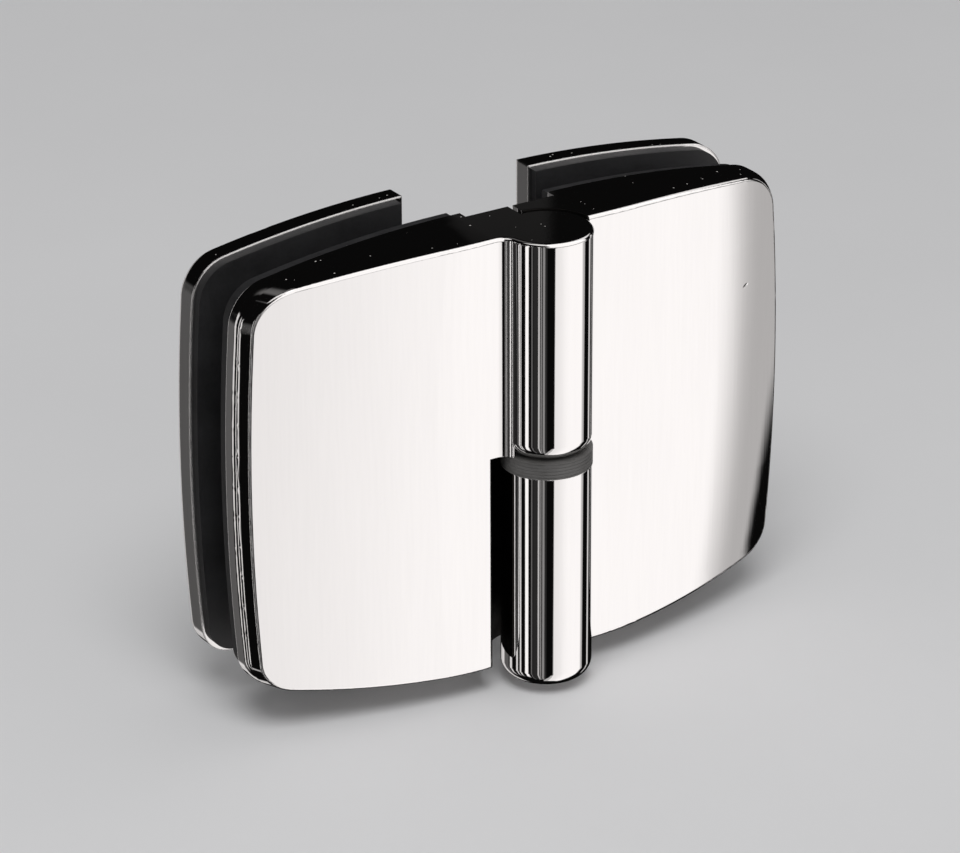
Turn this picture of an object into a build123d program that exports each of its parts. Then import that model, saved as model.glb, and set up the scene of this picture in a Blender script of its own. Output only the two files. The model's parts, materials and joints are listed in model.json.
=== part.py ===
"""Glass-to-glass shower door hinge, door closed, both leaves in line.

Frame: origin on the front surface of the fixed pane, midway between the two clamping screws of the
fixed leaf. +X runs along the fixed pane away from the door, -Y points out of the visible front, +Z
is up. Millimetres. Everything is drawn about the knuckle axis and moved to this frame when saved.
"""
import os
from math import atan2, cos, degrees, hypot, radians, sin, sqrt, tan

from build123d import *

# ---- glass and clamping stack, from the axis backwards ----
axis_to_glass = 16.4          # knuckle axis to the front surface of the pane
glass_thickness = 8.0
front_gasket_thickness = 3.0
rear_gasket_thickness = 1.2
rear_plate_thickness = 5.0
gasket_inset = 0.8            # gaskets stop this far inside the metal outline

# ---- leaf outline, seen from the front ----
leaf_height = 80.8            # at the knuckle
leaf_reach = 55.9             # axis to the outer edge at mid-height
leaf_inner_end = 0.5          # each leaf stops this far from the middle of the door joint
level_past_blend = 0.5        # top and bottom edges run level this far past the knuckle's blend
edge_bow_radius = 218.0       # radius of the long top and bottom edges
side_bow_radius = 375.0       # radius of the outer edge
upper_corner_radius = 8.0
lower_corner_radius = 6.0

# ---- leaf outer wall, seen from above ----
square_rim = 2.0              # thickness of the square wall next to the glass
side_round_depth = 1.8        # depth over which the wall turns into its lean
side_lean = 30.0              # lean of the wall towards the face, degrees
wall_depth = 3.07             # from the square rim forward to the face, at mid-height

# ---- leaf face, seen from above ----
face_set_back = 0.1           # face behind the axis plane next to the knuckle
flat_past_notch = 0.5         # along its lower edge the face stays flat this far past the notch
face_shoulder_radius = 57.0
face_shoulder_turn = 7.5      # degrees
edge_fillet = 0.7

# ---- back of the leaf at the door joint ----
seal_relief_reach = 9.0       # rear of the leaf is cut back this far out for the door seal
seal_wall = 0.8               # metal left behind the notch for the fixed knuckle

# ---- knuckles, washer and pin ----
knuckle_radius = 8.0
knuckle_blend = 2.35          # hollow between knuckle and face
knuckle_end_fillet = 2.8      # lower rim of each knuckle
washer_thickness = 3.1
washer_bore_clearance = 0.1
washer_groove_pitch = 0.6
washer_groove_depth = 0.05
moving_knuckle_notch_gap = 0.4    # fixed leaf round the door leaf's knuckle
fixed_knuckle_notch_gap = 0.6     # door leaf round the fixed knuckle's blend
notch_edge_slope = 0.8            # slope at the front edge of that notch
knuckle_face_clearance = 0.05
pin_radius = 4.0
pin_running_fit = 0.03
pin_chamfer = 0.8
pin_flat_depth = 0.4          # flat under the grub screw
pin_flat_height = 5.0
knuckle_cap = 9.4             # solid metal closing the far end of each knuckle
bearing_wall = 1.0
bearing_spacing = 2.0         # plain length of bore between the two bearings
bore_end_room = 1.0           # air past each end of the pin

# ---- clamping screws ----
screw_radius = 3.0
screw_hole_clearance = 0.4
screw_head_radius = 5.6
screw_grip_in_leaf = 7.0      # thread length in the leaf
tapped_hole_room = 1.5
screw_tip_chamfer = 0.6
screw_reach = 32.0            # axis to the screws
screw_rise = 20.0             # screws above and below mid-height
socket_width = 4.0            # hexagon across flats
socket_depth = 2.4
glass_hole_radius = 8.0
glass_hole_clearance = 0.3
rear_plate_inner_edge = 13.0
rear_plate_fillet = 1.6
grub_radius = 2.0
grub_length = 3.6
grub_chamfer = 0.3
grub_socket_width = 2.0
grub_socket_depth = 1.5
grub_depth_below_washer = 12.0
grub_turn = 25.0              # degrees, clear of the door leaf's thin wall

# ---- worked out from the above ----
half_height = leaf_height / 2
glass_front = axis_to_glass
glass_back = glass_front + glass_thickness
leaf_back = glass_front - front_gasket_thickness
rear_gasket_back = glass_back + rear_gasket_thickness
rear_plate_back = rear_gasket_back + rear_plate_thickness
rim_start = leaf_back - square_rim
face_limit = face_set_back - knuckle_radius   # the leaning wall is drawn out to here, then cut
side_round_radius = side_round_depth / sin(radians(side_lean))
blend_centre_back = face_set_back - knuckle_blend
blend_reach = sqrt((knuckle_radius + knuckle_blend) ** 2 - blend_centre_back**2)
level_reach = blend_reach + level_past_blend
face_axis_reach = leaf_reach - side_bow_radius
door_notch_radius = blend_reach + fixed_knuckle_notch_gap
door_notch_front = door_notch_radius + notch_edge_slope
flat_corner = hypot(door_notch_front + flat_past_notch - face_axis_reach, half_height)
face_flat_reach = flat_corner + face_axis_reach
shoulder_run = face_shoulder_radius * sin(radians(face_shoulder_turn))
shoulder_drop = face_shoulder_radius * (1 - cos(radians(face_shoulder_turn)))
face_run = leaf_reach - face_flat_reach - shoulder_run
face_drop = rim_start - wall_depth - face_set_back - shoulder_drop
half_face_turn = degrees(atan2(face_drop, face_run)) - face_shoulder_turn
face_radius = hypot(face_run, face_drop) / (2 * sin(radians(half_face_turn)))
washer_bottom = -washer_thickness
fixed_knuckle_bottom = washer_bottom - half_height
bearing_radius = pin_radius + pin_running_fit + bearing_wall
pin_bottom = fixed_knuckle_bottom + knuckle_cap + bore_end_room
pin_top = half_height - knuckle_cap - bore_end_room
bearing_length = (pin_top - bearing_spacing) / 2
screw_hole_radius = screw_radius + screw_hole_clearance
screw_tip = leaf_back - screw_grip_in_leaf
head_depth = screw_head_radius - screw_radius
grub_height = washer_bottom - grub_depth_below_washer
grub_tip = pin_radius - pin_flat_depth
seal_relief_back = door_notch_radius + seal_wall
fixed_notch_radius = knuckle_radius + moving_knuckle_notch_gap
past = 5.0                    # how far cutting shapes run past the metal


def at_depth(depth):
    """Plane facing the front, this far behind the axis."""
    return Plane.XZ.offset(-depth)


def slab(sketch, front, back):
    """Front-view sketch made solid between two depths behind the axis."""
    return extrude(at_depth(back) * sketch, back - front)


def column(sketch, low, high):
    """Plan-view sketch made solid between two heights."""
    return extrude(Pos(0, 0, low) * sketch, high - low)


def peg(radius, front, back, reach=0.0, rise=0.0):
    """Cylinder along the depth of the hinge."""
    return slab(Pos(reach, rise) * Circle(radius), front, back)


def outline(side_inset=0.0, inset=0.0, inner_edge=leaf_inner_end):
    """Front view of a leaf. side_inset moves only the outer edge in, inset moves every edge."""
    height = half_height - inset
    reach = leaf_reach - side_inset - inset
    bow = edge_bow_radius - inset
    level = Pos((inner_edge + level_reach) / 2, 0) * Rectangle(level_reach - inner_edge, 2 * height)
    upper = Pos(level_reach, height - bow) * Circle(bow)
    lower = Pos(level_reach, bow - height) * Circle(bow)
    side = Pos(reach - side_bow_radius + inset, 0) * Circle(side_bow_radius - inset)
    start = max(inner_edge, level_reach)
    window = Pos(start + leaf_reach / 2, 0) * Rectangle(leaf_reach, 2 * leaf_height)
    shape = upper & lower & side & window
    if inner_edge < level_reach:
        shape = level + shape
    corner = max([v for v in shape.vertices() if v.Y > 0], key=lambda v: v.X)
    shape = fillet(corner, upper_corner_radius - inset)
    corner = max([v for v in shape.vertices() if v.Y < 0], key=lambda v: v.X)
    return fillet(corner, lower_corner_radius - inset)


def wall_inset(depth):
    """How far the outer wall has come in, this far in front of the square rim."""
    if depth <= side_round_depth:
        return side_round_radius - sqrt(side_round_radius**2 - depth**2)
    turned = side_round_radius * (1 - cos(radians(side_lean)))
    return turned + (depth - side_round_depth) * tan(radians(side_lean))


def wall_section(depth):
    return at_depth(rim_start - depth) * outline(wall_inset(depth))


def leaf_body():
    """Square rim, rounded turn and leaning wall."""
    turn = [wall_section(side_round_depth * part) for part in (0.0, 0.3, 0.65, 1.0)]
    lean = loft([turn[-1], wall_section(rim_start - face_limit)], ruled=True)
    return slab(outline(), rim_start, leaf_back) + loft(turn) + lean


def face_tool():
    """Everything behind the bowed face: its plan profile turned about an upright bow axis."""
    flat = Line((-1, face_set_back), (face_flat_reach, face_set_back))
    shoulder = JernArc(
        start=flat @ 1, tangent=flat % 1, radius=face_shoulder_radius, arc_size=face_shoulder_turn
    )
    turn = 2 * half_face_turn + degrees(past / face_radius)
    main = JernArc(start=shoulder @ 1, tangent=shoulder % 1, radius=face_radius, arc_size=turn)
    far = (main @ 1).X
    back = Polyline([main @ 1, (far, leaf_back + past), (-1, leaf_back + past), flat @ 0])
    profile = make_face([flat, shoulder, main, back])
    axis = Axis((face_axis_reach, 0, 0), (0, 1, 0))
    half_turn = 9
    return revolve(profile.rotate(axis, -half_turn), axis, 2 * half_turn)


def plain_leaf():
    """One leaf without knuckle, cut back behind for the door seal."""
    leaf = leaf_body() & face_tool()
    relief = outline(inner_edge=leaf_inner_end) & (
        Rectangle(2 * seal_relief_reach, 2 * leaf_height)
    )
    return leaf - slab(relief, seal_relief_back, leaf_back + past)


def knuckle_web():
    """Plan view of the metal that joins a knuckle to its leaf, with the hollow in front."""
    width = level_reach - leaf_inner_end
    depth = knuckle_radius - face_set_back
    middle = Pos(leaf_inner_end + width / 2, face_set_back + depth / 2)
    web = Circle(knuckle_radius) + middle * Rectangle(width, depth)
    corner = min(web.vertices(), key=lambda v: hypot(v.X - knuckle_radius, v.Y - face_set_back))
    return fillet(corner, knuckle_blend) - Circle(knuckle_radius)


def knuckle(low, high):
    barrel = column(Circle(knuckle_radius), low, high)
    return fillet(barrel.edges().group_by(Axis.Z)[0], knuckle_end_fillet)


def rounded_edges(leaf):
    """Edges of the face and of a knuckle top flush with it that carry the small rounding."""
    faces = [
        f for f in leaf.faces()
        if f.geom_type == GeomType.TORUS and f.area > 300
        or f.geom_type == GeomType.PLANE and abs(f.center().Y - face_set_back) < 0.01
    ]
    seen = {}
    for edge in [e for f in faces for e in f.edges()]:
        middle = edge.center()
        key = (round(middle.X, 2), round(middle.Y, 2), round(middle.Z, 2))
        seen[key] = seen.get(key, 0) + 1
    edges = []
    for edge in leaf.edges():
        middle = edge.center()
        key = (round(middle.X, 2), round(middle.Y, 2), round(middle.Z, 2))
        inner = middle.X < face_flat_reach
        upright = inner and edge.bounding_box().size.Z > 2
        at_step = inner and abs(middle.Z) < washer_thickness + knuckle_end_fillet
        outer = seen.get(key, 0) == 1 and not upright and not at_step
        level = middle.Z > half_height - 0.01
        rim = level and middle.Y < face_set_back and middle.X < knuckle_radius + knuckle_blend
        if outer or rim:
            edges.append(edge)
    return edges


def tapped(leaf):
    """Blind tapped holes for the two clamping screws."""
    for rise in (-screw_rise, screw_rise):
        leaf -= peg(screw_radius, screw_tip - tapped_hole_room, leaf_back + past, screw_reach, rise)
    return leaf


def mirrored(shape):
    return mirror(shape, Plane.YZ)


def save(shape, name):
    placed = Pos(-screw_reach, -glass_front, 0) * shape
    export_step(placed, f"parts/{name}.step")
    print(name, round(placed.volume, 1), placed.is_valid, len(placed.solids()))


def door_notch():
    """Plan view of the room for the fixed knuckle, with its sloped front edge."""
    front = face_set_back - past
    corner = face_set_back + notch_edge_slope
    sloped = [(door_notch_front, face_set_back), (door_notch_radius, corner)]
    slope = Polygon((0, front), (door_notch_front, front), *sloped, (0, corner), align=None)
    return Circle(door_notch_radius) + slope


def door_leaf():
    """Moving leaf with the upper knuckle, drawn on the +X side and mirrored."""
    leaf = plain_leaf() - column(door_notch(), -2 * half_height, 0)
    leaf += column(knuckle_web(), 0, half_height)
    leaf += knuckle(0, half_height)
    leaf = fillet(rounded_edges(leaf), edge_fillet)
    leaf -= column(Circle(bearing_radius), -past, pin_top + bore_end_room)
    return mirrored(tapped(leaf))


def grub_place():
    return Pos(0, 0, grub_height) * Rot(0, 0, -grub_turn)


def fixed_leaf():
    """Fixed leaf with the lower knuckle, a little lower than the leaf itself."""
    leaf = plain_leaf()
    leaf = fillet(rounded_edges(leaf), edge_fillet)
    leaf -= column(Circle(fixed_notch_radius), washer_bottom, 2 * half_height)
    leaf += column(knuckle_web(), edge_fillet - half_height, washer_bottom)
    leaf += knuckle(fixed_knuckle_bottom, washer_bottom)
    leaf -= column(Circle(pin_radius), pin_bottom - bore_end_room, past)
    leaf -= grub_place() * peg(grub_radius, 0, leaf_back)
    return tapped(leaf)


def pierced(plate, radius=screw_hole_radius):
    """Holes for the two clamping screws, or for the bushes round them."""
    for rise in (-screw_rise, screw_rise):
        plate -= peg(radius, leaf_back - past, rear_plate_back + past, screw_reach, rise)
    return plate


def front_gasket():
    shape = outline(inset=gasket_inset, inner_edge=seal_relief_reach + gasket_inset)
    return pierced(slab(shape, leaf_back, glass_front), glass_hole_radius)


def rear_gasket():
    shape = outline(inset=gasket_inset, inner_edge=rear_plate_inner_edge + gasket_inset)
    return pierced(slab(shape, glass_back, rear_gasket_back))


def rear_plate():
    """Clamping plate behind the glass, rounded at the back, with countersunk holes."""
    plate = slab(outline(inner_edge=rear_plate_inner_edge), rear_gasket_back, rear_plate_back)
    back_edges = plate.faces().sort_by(Axis.Y)[-1].edges()
    plate = fillet(back_edges, rear_plate_fillet)
    plate = pierced(plate)
    for rise in (-screw_rise, screw_rise):
        plate -= Pos(screw_reach, 0, rise) * screw_profile(past, head_only=True)
    return plate


def screw_profile(length, head_only=False):
    """Countersunk screw along Y with its head flush in the rear plate."""
    back = rear_plate_back
    if head_only:
        points = [(0, back), (screw_head_radius, back), (screw_radius, back - head_depth)]
        points.append((0, back - head_depth))
    else:
        points = [(0, back), (screw_head_radius, back), (screw_radius, back - head_depth)]
        points += [(screw_radius, screw_tip + screw_tip_chamfer)]
        points += [(screw_radius - screw_tip_chamfer, screw_tip), (0, screw_tip)]
    face = make_face(Polyline(points, close=True))
    return revolve(face, Axis.Y)


def hexagon(width):
    return RegularPolygon(width / 2, 6, major_radius=False)


def clamp_screw(rise):
    screw = Pos(screw_reach, 0, rise) * screw_profile(0)
    socket = Pos(screw_reach, rise) * hexagon(socket_width)
    return screw - slab(socket, rear_plate_back - socket_depth, rear_plate_back + past)


def glass_bush(rise):
    outer = glass_hole_radius - glass_hole_clearance
    bush = peg(outer, leaf_back, glass_back, screw_reach, rise)
    return bush - peg(screw_hole_radius, 0, rear_plate_back, screw_reach, rise)


def hinge_pin():
    pin = column(Circle(pin_radius), pin_bottom, pin_top)
    pin = chamfer(pin.edges().filter_by(GeomType.CIRCLE), pin_chamfer)
    flat = Pos(0, grub_tip + past / 2, 0) * Box(2 * pin_radius, past, pin_flat_height)
    return pin - grub_place() * flat


def washer():
    """Plastic washer with fine turned grooves round its rim."""
    bore = pin_radius + washer_bore_clearance
    ring = column(Circle(knuckle_radius) - Circle(bore), washer_bottom, -knuckle_face_clearance)
    grooves = int(washer_thickness / washer_groove_pitch)
    start = washer_bottom + (washer_thickness - (grooves - 1) * washer_groove_pitch) / 2
    for number in range(grooves):
        height = start + number * washer_groove_pitch
        cut = Circle(knuckle_radius + 1) - Circle(knuckle_radius - washer_groove_depth)
        ring -= column(cut, height - washer_groove_depth, height + washer_groove_depth)
    return ring


def bearing(low):
    bore = pin_radius + pin_running_fit
    return column(Circle(bearing_radius) - Circle(bore), low, low + bearing_length)


def grub_screw():
    back = grub_tip + grub_length
    grub = peg(grub_radius, grub_tip, back)
    grub = chamfer(grub.edges().filter_by(GeomType.CIRCLE), grub_chamfer)
    grub -= slab(hexagon(grub_socket_width), back - grub_socket_depth, back + past)
    return grub_place() * grub


os.makedirs("parts", exist_ok=True)
save(fixed_leaf(), "fixed_leaf")
save(door_leaf(), "door_leaf")
front = front_gasket()
save(front, "fixed_front_gasket")
save(mirrored(front), "door_front_gasket")
rear = rear_gasket()
save(rear, "fixed_rear_gasket")
save(mirrored(rear), "door_rear_gasket")
plate = rear_plate()
save(plate, "fixed_rear_plate")
save(mirrored(plate), "door_rear_plate")
for place, rise in (("upper", screw_rise), ("lower", -screw_rise)):
    screw = clamp_screw(rise)
    save(screw, f"fixed_{place}_screw")
    save(mirrored(screw), f"door_{place}_screw")
    bush = glass_bush(rise)
    save(bush, f"fixed_{place}_glass_bush")
    save(mirrored(bush), f"door_{place}_glass_bush")
save(hinge_pin(), "hinge_pin")
save(washer(), "knuckle_washer")
save(bearing(0), "lower_bearing")
save(bearing(bearing_length + bearing_spacing), "upper_bearing")
save(grub_screw(), "pin_grub_screw")
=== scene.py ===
import json
from math import radians

import bmesh
import bpy
from mathutils import Matrix, Vector


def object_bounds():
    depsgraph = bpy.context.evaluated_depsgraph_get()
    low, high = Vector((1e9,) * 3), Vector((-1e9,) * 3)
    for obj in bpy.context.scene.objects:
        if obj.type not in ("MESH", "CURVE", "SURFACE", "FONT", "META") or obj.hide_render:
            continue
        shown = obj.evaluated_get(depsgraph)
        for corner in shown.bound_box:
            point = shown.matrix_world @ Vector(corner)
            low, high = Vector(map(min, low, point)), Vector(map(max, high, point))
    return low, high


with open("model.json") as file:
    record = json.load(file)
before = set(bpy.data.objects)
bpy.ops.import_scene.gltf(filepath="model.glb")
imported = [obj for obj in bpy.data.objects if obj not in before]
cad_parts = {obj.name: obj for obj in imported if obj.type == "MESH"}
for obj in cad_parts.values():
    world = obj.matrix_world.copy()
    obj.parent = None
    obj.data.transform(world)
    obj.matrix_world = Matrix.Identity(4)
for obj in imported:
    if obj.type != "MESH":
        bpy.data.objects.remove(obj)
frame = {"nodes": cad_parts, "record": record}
cadLow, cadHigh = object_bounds()
print("frame loaded:", len(frame["nodes"]), "nodes")

millimetre = 0.001
axisPoint = Vector((-32.0, -16.4, 0.0)) * millimetre  # knuckle axis at mid-height of the leaves


# Helpers that build node materials.

def newMaterial(name):
    material = bpy.data.materials.new(name)
    material.use_nodes = True
    nodes = material.node_tree.nodes
    nodes.clear()
    output = nodes.new("ShaderNodeOutputMaterial")
    shader = nodes.new("ShaderNodeBsdfPrincipled")
    material.node_tree.links.new(shader.outputs["BSDF"], output.inputs["Surface"])
    return material, shader


def addNode(tree, kind, inputs=None, **settings):
    node = tree.nodes.new(kind)
    for key, value in settings.items():
        setattr(node, key, value)
    for key, value in (inputs or {}).items():
        if isinstance(value, bpy.types.NodeSocket):
            tree.links.new(value, node.inputs[key])
        else:
            node.inputs[key].default_value = value
    return node


def mathNode(tree, operation, first, second=0.0, third=0.0):
    inputs = {0: first, 1: second, 2: third}
    return addNode(tree, "ShaderNodeMath", inputs, operation=operation).outputs[0]


def mapping(tree, vector, **inputs):
    return addNode(tree, "ShaderNodeMapping", {"Vector": vector, **inputs}).outputs["Vector"]


def objectPoint(tree, scale=(1, 1, 1)):
    where = addNode(tree, "ShaderNodeTexCoord").outputs["Object"]
    return mapping(tree, where, Scale=scale)


def pointFrom(tree, place):
    # Object position measured from a place given in metres.
    where = addNode(tree, "ShaderNodeTexCoord").outputs["Object"]
    return mapping(tree, where, Location=[-value for value in place])


def noise(tree, point, scale, detail=3.0, roughness=0.55):
    inputs = {"Vector": point, "Scale": scale, "Detail": detail, "Roughness": roughness}
    return addNode(tree, "ShaderNodeTexNoise", inputs).outputs["Fac"]


def ramp(tree, factor, stops):
    node = addNode(tree, "ShaderNodeValToRGB", {"Fac": factor})
    elements = node.color_ramp.elements
    while len(elements) < len(stops):
        elements.new(0.5)
    for element, (place, value) in zip(elements, stops):
        element.position = place
        colour = value if isinstance(value, tuple) else (value, value, value)
        element.color = (*colour, 1.0)
    return node.outputs["Color"]


def smoothRange(tree, value, start, end, startValue, endValue):
    inputs = {
        "Value": value,
        "From Min": start, "From Max": end,
        "To Min": startValue, "To Max": endValue,
    }
    node = addNode(tree, "ShaderNodeMapRange", inputs, interpolation_type="SMOOTHSTEP")
    return node.outputs["Result"]


def meanPattern(tree, first, second):
    return mathNode(tree, "MULTIPLY_ADD", first, 0.5, mathNode(tree, "MULTIPLY", second, 0.5))


def bump(tree, height, distance, normal=None, strength=1.0):
    inputs = {"Height": height, "Strength": strength, "Distance": distance}
    if normal is not None:
        inputs["Normal"] = normal
    return addNode(tree, "ShaderNodeBump", inputs).outputs["Normal"]


def blendColour(tree, factor, first, second):
    mixed = addNode(tree, "ShaderNodeMix", data_type="RGBA")
    tree.links.new(factor, mixed.inputs["Factor"])
    for socket, value in ((mixed.inputs[6], first), (mixed.inputs[7], second)):
        if isinstance(value, bpy.types.NodeSocket):
            tree.links.new(value, socket)
        else:
            socket.default_value = (*value, 1)
    return mixed.outputs[2]


# Dust that has settled on faces that look up.
dust = {
    "cells": 1150.0,             # cells to the metre, with one grain at most in each
    "size": (0.078, 0.208),      # smallest and largest grain against its cell
    "share": 0.10,               # share of the cells that hold a grain
    "patches": 120.0,            # patches to the metre with more or fewer grains
    "colour": (0.62, 0.60, 0.57),
    "roughness": 0.7,            # added to the roughness of the polished metal
    "upward": 0.85,              # how far up a face looks before dust stays on it
}


def dustGrains(tree):
    point = objectPoint(tree)
    cells = addNode(tree, "ShaderNodeTexVoronoi", {"Vector": point, "Scale": dust["cells"]})
    split = addNode(tree, "ShaderNodeSeparateColor", {"Color": cells.outputs["Color"]})
    patchy = noise(tree, objectPoint(tree), dust["patches"], detail=2.0, roughness=0.5)
    share = mathNode(tree, "MULTIPLY", patchy, dust["share"] * 2)  # the patches average a half
    chosen = mathNode(tree, "LESS_THAN", split.outputs[0], share)
    smallest, largest = dust["size"]
    size = mathNode(tree, "MULTIPLY_ADD", split.outputs[1], largest - smallest, smallest)
    grain = mathNode(tree, "LESS_THAN", cells.outputs["Distance"], size)
    normal = addNode(tree, "ShaderNodeTexCoord").outputs["Normal"]
    upward = addNode(tree, "ShaderNodeSeparateXYZ", {"Vector": normal}).outputs["Z"]
    lying = mathNode(tree, "GREATER_THAN", upward, dust["upward"])
    return mathNode(tree, "MULTIPLY", mathNode(tree, "MULTIPLY", chosen, grain), lying)


# The recess in each leaf that takes the other leaf's knuckle, round the knuckle axis, in
# millimetres. It is rougher than the polish, and its near-black colour is painted shade.
leafRecess = {
    "door_leaf": {"radius": 11.3, "low": -60.0, "high": -0.02},
    "fixed_leaf": {"radius": 8.7, "low": -3.05, "high": 60.0},
}
# Painted shade for the recess: a near-black colour, with real added roughness and grit.
recessShadeAndGrit = {
    "colour": (0.022, 0.021, 0.02),
    "roughness": 0.45,           # added to the roughness of the polished metal
    "gritScale": 1900.0,
    "gritStrength": 0.7,
    "gritDepth": 0.00006,
}


def recessMask(tree, recess):
    split = addNode(tree, "ShaderNodeSeparateXYZ", {"Vector": pointFrom(tree, axisPoint)})
    x, y, z = split.outputs
    squares = mathNode(tree, "MULTIPLY_ADD", x, x, mathNode(tree, "MULTIPLY", y, y))
    near = mathNode(tree, "LESS_THAN", squares, (recess["radius"] * millimetre) ** 2)
    above = mathNode(tree, "GREATER_THAN", z, recess["low"] * millimetre)
    below = mathNode(tree, "LESS_THAN", z, recess["high"] * millimetre)
    return mathNode(tree, "MULTIPLY", near, mathNode(tree, "MULTIPLY", above, below))


# A shallow dent that a knock left on the face of the fixed leaf, in millimetres and degrees.
faceNick = {
    "place": (13.64, -11.0, 17.39),
    "halfSize": (0.85, 0.85, 0.34),
    "turn": 24,
    "depth": 0.045,
}


def nickHeight(tree, nick):
    centred = pointFrom(tree, [value * millimetre for value in nick["place"]])
    turned = mapping(tree, centred, Rotation=(0, radians(nick["turn"]), 0))
    spread = mapping(tree, turned, Scale=[1 / (value * millimetre) for value in nick["halfSize"]])
    away = addNode(tree, "ShaderNodeVectorMath", {0: spread}, operation="LENGTH").outputs["Value"]
    return smoothRange(tree, away, 0.0, 1.0, -1.0, 0.0)


# Polished chrome of the leaves and the rear plates. Depths and rounding in metres.
leafChrome = {
    "colour": (0.915, 0.915, 0.915),
    "dullColour": (0.885, 0.885, 0.885),
    "roughness": (0.012, 0.03),
    "streakScale": 1500.0,       # polishing streaks run up and down
    "streakStretch": (1, 1, 0.05),
    "streakDepth": 0.0000009,
    "cloudScale": 75.0,          # patches where the polish is a little worn
    "cloudStretch": (1, 1, 0.35),
    "waveScale": 38.0,           # slow waves that bend reflections
    "waveStretch": (1, 1, 0.3),
    "waveDepth": 0.000007,
    "edgeRound": 0.00015,        # rounding that catches light along sharp edges
}
plateChrome = {
    **leafChrome,
    "colour": (0.80, 0.80, 0.80),
    "dullColour": (0.72, 0.72, 0.72),
    "edgeRound": 0.0006,
}


def polishedChrome(name, look, recess=None, nick=None):
    material, shader = newMaterial(name)
    tree = material.node_tree
    streakPoint = objectPoint(tree, look["streakStretch"])
    streaks = noise(tree, streakPoint, look["streakScale"], roughness=0.6)
    cloudPoint = objectPoint(tree, look["cloudStretch"])
    clouds = noise(tree, cloudPoint, look["cloudScale"], roughness=0.5)
    worn = meanPattern(tree, streaks, clouds)
    colour = ramp(tree, worn, [(0.35, look["colour"]), (0.72, look["dullColour"])])
    low, high = look["roughness"]
    rough = ramp(tree, worn, [(0.3, low), (0.75, high)])
    grains = dustGrains(tree)
    colour = blendColour(tree, grains, colour, dust["colour"])
    rough = mathNode(tree, "MULTIPLY_ADD", grains, dust["roughness"], rough)
    metal = mathNode(tree, "SUBTRACT", 1.0, grains)
    wavePoint = objectPoint(tree, look["waveStretch"])
    waves = noise(tree, wavePoint, look["waveScale"], detail=1.0, roughness=0.4)
    rounded = addNode(tree, "ShaderNodeBevel", {"Radius": look["edgeRound"]}, samples=6)
    normal = bump(tree, waves, look["waveDepth"], rounded.outputs["Normal"])
    normal = bump(tree, streaks, look["streakDepth"], normal)
    if nick:
        normal = bump(tree, nickHeight(tree, nick), nick["depth"] * millimetre, normal)
    if recess:
        shadeAndGritMask = recessMask(tree, recess)
        # Paint shade into the recess: its colour turns near black.
        colour = blendColour(tree, shadeAndGritMask, colour, recessShadeAndGrit["colour"])
        rough = mathNode(tree, "MULTIPLY_ADD", shadeAndGritMask, recessShadeAndGrit["roughness"], rough)
        grit = noise(tree, objectPoint(tree), recessShadeAndGrit["gritScale"], detail=4.0, roughness=0.7)
        gritInRecess = mathNode(tree, "MULTIPLY", grit, shadeAndGritMask)
        normal = bump(tree, gritInRecess, recessShadeAndGrit["gritDepth"], normal, recessShadeAndGrit["gritStrength"])
    tree.links.new(colour, shader.inputs["Base Color"])
    tree.links.new(rough, shader.inputs["Roughness"])
    tree.links.new(metal, shader.inputs["Metallic"])
    tree.links.new(normal, shader.inputs["Normal"])
    return material


# Turned steel of the screws and the pin.
turnedSteel = {
    "colour": (0.60, 0.60, 0.61),
    "darkColour": (0.42, 0.42, 0.43),
    "roughness": (0.22, 0.36),
    "ringScale": 5200.0,         # fine marks of the turning tool
    "ringStretch": (0.15, 1, 1),
    "ringStrength": 0.6,
    "ringDepth": 0.00002,
    "cloudScale": 240.0,
}


def steelMaterial(name, look):
    material, shader = newMaterial(name)
    tree = material.node_tree
    rings = noise(tree, objectPoint(tree, look["ringStretch"]), look["ringScale"], roughness=0.6)
    clouds = noise(tree, objectPoint(tree), look["cloudScale"], detail=4.0, roughness=0.6)
    mixed = meanPattern(tree, rings, clouds)
    low, high = look["roughness"]
    colour = ramp(tree, mixed, [(0.32, look["darkColour"]), (0.68, look["colour"])])
    tree.links.new(colour, shader.inputs["Base Color"])
    tree.links.new(ramp(tree, mixed, [(0.3, low), (0.7, high)]), shader.inputs["Roughness"])
    shader.inputs["Metallic"].default_value = 1.0
    normal = bump(tree, rings, look["ringDepth"], strength=look["ringStrength"])
    tree.links.new(normal, shader.inputs["Normal"])
    return material


# Rubber of the gaskets and moulded plastic of washer, bushes and bearings. Each colour and
# roughness runs from the first to the second value.
plasticLooks = {
    "gasket": {
        "colours": ((0.012, 0.012, 0.013), (0.028, 0.028, 0.030)), "roughness": (0.50, 0.72),
        "grainScale": 1500.0, "grainDepth": 0.00003, "stretch": (1, 1, 1),
    },
    "washer_plastic": {
        "colours": ((0.085, 0.082, 0.079), (0.15, 0.147, 0.143)), "roughness": (0.40, 0.55),
        "grainScale": 1800.0, "grainDepth": 0.00003, "stretch": (0.25, 0.25, 2.2),
    },
    "bush_plastic": {
        "colours": ((0.56, 0.56, 0.54), (0.68, 0.68, 0.66)), "roughness": (0.32, 0.45),
        "grainScale": 900.0, "grainDepth": 0.00002, "stretch": (1, 1, 1),
    },
    "bearing_plastic": {
        "colours": ((0.03, 0.03, 0.031), (0.06, 0.06, 0.062)), "roughness": (0.3, 0.42),
        "grainScale": 900.0, "grainDepth": 0.00002, "stretch": (1, 1, 0.2),
    },
}
plasticGrain = {"strength": 0.8, "cloudScale": 180.0}


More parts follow.
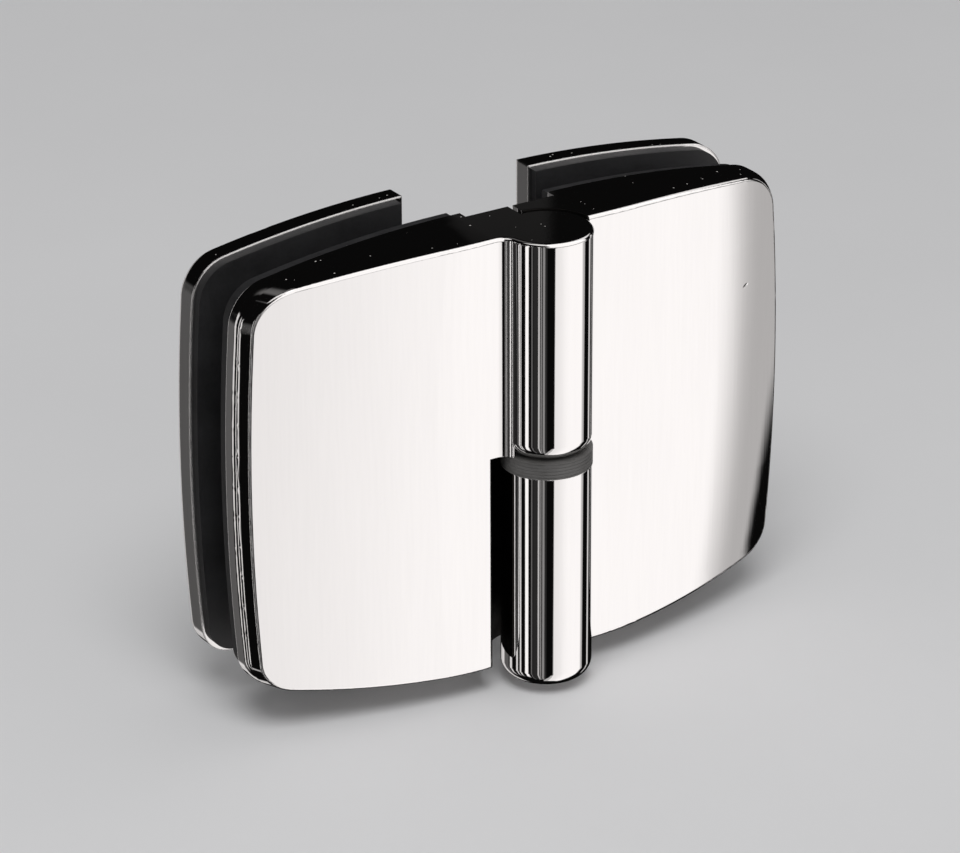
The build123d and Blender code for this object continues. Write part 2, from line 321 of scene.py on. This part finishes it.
def plasticMaterial(name, look):
    material, shader = newMaterial(name)
    tree = material.node_tree
    grainPoint = objectPoint(tree, look["stretch"])
    grain = noise(tree, grainPoint, look["grainScale"], detail=4.0, roughness=0.6)
    clouds = noise(tree, objectPoint(tree), plasticGrain["cloudScale"], roughness=0.5)
    mixed = meanPattern(tree, grain, clouds)
    dark, light = look["colours"]
    low, high = look["roughness"]
    colour = ramp(tree, mixed, [(0.32, dark), (0.68, light)])
    tree.links.new(colour, shader.inputs["Base Color"])
    tree.links.new(ramp(tree, mixed, [(0.3, low), (0.7, high)]), shader.inputs["Roughness"])
    normal = bump(tree, grain, look["grainDepth"], strength=plasticGrain["strength"])
    tree.links.new(normal, shader.inputs["Normal"])
    return material


slotMaterials = {
    "chrome_rear": polishedChrome("rearPlateChrome", plateChrome),
    "stainless": steelMaterial("turnedSteel", turnedSteel),
}
for slotName, look in plasticLooks.items():
    slotMaterials[slotName] = plasticMaterial(slotName.replace("_p", "P"), look)

leafMaterials = {
    "door_leaf": polishedChrome("doorLeafChrome", leafChrome, leafRecess["door_leaf"]),
    "fixed_leaf": polishedChrome("fixedLeafChrome", leafChrome, leafRecess["fixed_leaf"], faceNick),
}

for part in frame["record"]["subparts"]:
    material = leafMaterials.get(part["node"]) or slotMaterials[part["material_slot"]]
    for slot in frame["nodes"][part["node"]].material_slots:
        slot.material = material


# Pale floor just under the hinge, in metres.
floorLook = {
    "drop": 0.0015,              # floor below the lowest point of the hinge
    "size": 6.0,
    "colour": (0.80, 0.80, 0.81),
    "lighter": 1.03,
    "cloudScale": 9.0,
    "roughness": 0.9,
    "specular": 0.1,
}

floorMesh = bpy.data.meshes.new("floor")
floorMaker = bmesh.new()
bmesh.ops.create_grid(floorMaker, x_segments=1, y_segments=1, size=floorLook["size"] / 2)
bmesh.ops.translate(floorMaker, verts=floorMaker.verts, vec=(0, 0, cadLow[2] - floorLook["drop"]))
floorMaker.to_mesh(floorMesh)
floorMaker.free()
floor = bpy.data.objects.new("floor", floorMesh)
bpy.context.scene.collection.objects.link(floor)
floorMaterial, floorShader = newMaterial("paleFloor")
floorTree = floorMaterial.node_tree
lighterFloor = tuple(value * floorLook["lighter"] for value in floorLook["colour"])
floorClouds = noise(floorTree, objectPoint(floorTree), floorLook["cloudScale"], detail=4.0)
floorTint = ramp(floorTree, floorClouds, [(0.3, floorLook["colour"]), (0.7, lighterFloor)])
floorTree.links.new(floorTint, floorShader.inputs["Base Color"])
floorShader.inputs["Roughness"].default_value = floorLook["roughness"]
floorShader.inputs["Specular IOR Level"].default_value = floorLook["specular"]
floorMesh.materials.append(floorMaterial)
floor.visible_glossy = False
print("floor laid")

# One soft lamp up and to the left in front, in metres and watts. The chrome doesn't mirror it.
keyLamp = {
    "place": (-0.35, -0.55, 1.25),
    "size": 0.9,
    "power": 9.0,
}

keyData = bpy.data.lights.new("keyLight", "AREA")
keyData.shape = "DISK"
keyData.size = keyLamp["size"]
keyData.energy = keyLamp["power"]
keyLight = bpy.data.objects.new("keyLight", keyData)
keyLight.location = keyLamp["place"]
keyAim = axisPoint - Vector(keyLamp["place"])
keyLight.rotation_euler = keyAim.to_track_quat("-Z", "Y").to_euler()
keyLight.visible_glossy = False
bpy.context.scene.collection.objects.link(keyLight)


# What polished metal sees round the hinge. Each card is a soft-edged panel far away: it runs from
# one compass angle to another, where 0 is straight out of the visible front and 90 is along the
# fixed pane, and from low to high above the horizon. Degrees. Blur softens its sides and fade its
# lower and upper ends, and lean slants its sides.
surround = {
    "tint": (1.0, 0.962, 0.95),
    "base": 0.003,
    "plainStrength": 0.35,       # even light on everything that isn't a mirror
    "fade": (3, 6),              # where a card doesn't give its own
    "leanFrom": 24.0,            # degrees below the horizon where a slanted side keeps its place
    "cards": [
        # pale wall in front, below and above the horizon
        {"turn": (-14, 64), "rise": (-76, -12), "blur": (2.5, 8), "bright": 0.41, "lean": 0.2},
        {"turn": (-14, 71.5), "rise": (-76, -12), "blur": (2.5, 2.0), "bright": 0.47, "lean": 0.6},
        {"turn": (7, 63), "rise": (-76, -12), "blur": (40, 6), "bright": 0.19, "lean": 0.2},
        {"turn": (-30, 72), "rise": (-10, 84), "blur": (16, 4), "bright": 0.45},
        {"turn": (-30, 72), "rise": (1, 84), "blur": (16, 12), "bright": 0.65},
        # ceiling on both sides, and a strip beside the fixed pane
        {"turn": (-112, -22), "rise": (50, 84), "blur": (20, 16), "bright": 0.85},
        {"turn": (66, 116), "rise": (27, 86), "blur": (12, 14), "bright": 0.85},
        {"turn": (91, 98), "rise": (-45, 14), "blur": (3, 5), "bright": 0.70},
        # strips on the left, which draw the upright lines on the knuckles
        {"turn": (-88, -79.5), "rise": (-46, 12),
         "blur": (1.6, 2), "bright": 1.05, "fade": (14, 6)},
        {"turn": (-103.5, -99.5), "rise": (-46, 12),
         "blur": (2, 2), "bright": 0.75, "fade": (14, 6)},
        {"turn": (-115, -110), "rise": (-46, 12), "blur": (2, 2), "bright": 0.72, "fade": (14, 6)},
        {"turn": (-138.5, -130), "rise": (-46, 12),
         "blur": (2, 3), "bright": 0.70, "fade": (14, 6)},
        {"turn": (-176, -144), "rise": (-46, 5), "blur": (3, 1.5), "bright": 0.10, "fade": (14, 6)},
        {"turn": (-104, -80), "rise": (-10, 4), "blur": (8, 8), "bright": 0.06, "fade": (10, 8)},
        # weaker strips between those and the wall
        {"turn": (-72, -69), "rise": (-62, 12), "blur": (2, 2), "bright": 0.14},
        {"turn": (-67, -33), "rise": (-62, 12), "blur": (4, 2), "bright": 0.02},
        {"turn": (-54.8, -51), "rise": (-62, 12), "blur": (1.5, 2), "bright": 0.55},
        {"turn": (-48.4, -46.2), "rise": (-62, 12), "blur": (1.5, 1.5), "bright": 0.28},
        {"turn": (-43.4, -38.2), "rise": (-62, 12), "blur": (1.5, 2), "bright": 0.24},
        # behind, where two cards in a row meet at the seam of the compass
        {"turn": (146.4, 148.2), "rise": (19, 22), "blur": (0.2, 0.5), "bright": 0.018},
        {"turn": (168, 181), "rise": (-60, 6), "blur": (6, 0.1), "bright": 0.62},
        {"turn": (-181, -166), "rise": (-60, 6), "blur": (0.1, 8), "bright": 0.62},
        {"turn": (-181, -158), "rise": (47, 88),
         "blur": (0.1, 16), "bright": 0.12, "fade": (16, 6)},
        {"turn": (168, 181), "rise": (47, 88), "blur": (16, 0.1), "bright": 0.12, "fade": (16, 6)},
    ],
}


def band(tree, value, low, high, lowBlur, highBlur):
    rising = smoothRange(tree, value, low - lowBlur / 2, low + lowBlur / 2, 0.0, 1.0)
    falling = smoothRange(tree, value, high - highBlur / 2, high + highBlur / 2, 1.0, 0.0)
    return mathNode(tree, "MULTIPLY", rising, falling)


def surroundLight(tree, direction):
    x, y, z = addNode(tree, "ShaderNodeSeparateXYZ", {"Vector": direction}).outputs
    compass = mathNode(tree, "ARCTAN2", x, mathNode(tree, "MULTIPLY", y, -1.0))
    turn = mathNode(tree, "DEGREES", compass)
    rise = mathNode(tree, "DEGREES", mathNode(tree, "ARCSINE", z))
    lowered = mathNode(tree, "ADD", rise, surround["leanFrom"])
    total = surround["base"]
    for card in surround["cards"]:
        slanted = mathNode(tree, "MULTIPLY_ADD", lowered, -card.get("lean", 0.0), turn)
        across = band(tree, slanted, *card["turn"], *card["blur"])
        upright = band(tree, rise, *card["rise"], *card.get("fade", surround["fade"]))
        lit = mathNode(tree, "MULTIPLY", across, upright)
        total = mathNode(tree, "MULTIPLY_ADD", lit, card["bright"], total)
    return total


world = bpy.data.worlds.new("studioSurround")
bpy.context.scene.world = world
world.use_nodes = True
worldTree = world.node_tree
worldTree.nodes.clear()
worldOut = addNode(worldTree, "ShaderNodeOutputWorld")
direction = addNode(worldTree, "ShaderNodeTexCoord").outputs["Generated"]
path = addNode(worldTree, "ShaderNodeLightPath")
plain = addNode(
    worldTree, "ShaderNodeBackground",
    {"Color": (1, 1, 1, 1), "Strength": surround["plainStrength"]},
)
ring = addNode(worldTree, "ShaderNodeBackground", {
    "Color": (*surround["tint"], 1), "Strength": surroundLight(worldTree, direction),
})
choice = addNode(worldTree, "ShaderNodeMixShader", {
    0: path.outputs["Is Glossy Ray"], 1: plain.outputs[0], 2: ring.outputs[0],
})
worldTree.links.new(choice.outputs[0], worldOut.inputs["Surface"])
print("surround lit with", len(surround["cards"]), "cards")


# Places in millimetres, roll in degrees.
cameraView = {
    "place": (-431.96, -619.09, 331.07),
    "aim": (-40.737, -8.776, 2.689),
    "roll": -0.2127,
    "lens": 173.02,
    "sensorWidth": 36.0,
    "clip": (0.01, 20.0),
}

cameraData = bpy.data.cameras.new("camera")
cameraData.lens = cameraView["lens"]
cameraData.sensor_width = cameraView["sensorWidth"]
cameraData.sensor_fit = "HORIZONTAL"
cameraData.clip_start, cameraData.clip_end = cameraView["clip"]
camera = bpy.data.objects.new("camera", cameraData)
camera.location = Vector(cameraView["place"]) * millimetre
aimDirection = (Vector(cameraView["aim"]) - Vector(cameraView["place"])).normalized()
levelView = aimDirection.to_track_quat("-Z", "Y").to_matrix().to_4x4()
rolledView = levelView @ Matrix.Rotation(radians(cameraView["roll"]), 4, "Z")
camera.rotation_euler = rolledView.to_euler()
bpy.context.scene.collection.objects.link(camera)
bpy.context.scene.camera = camera
bpy.context.scene.view_settings.view_transform = "Standard"
print("studio ready")
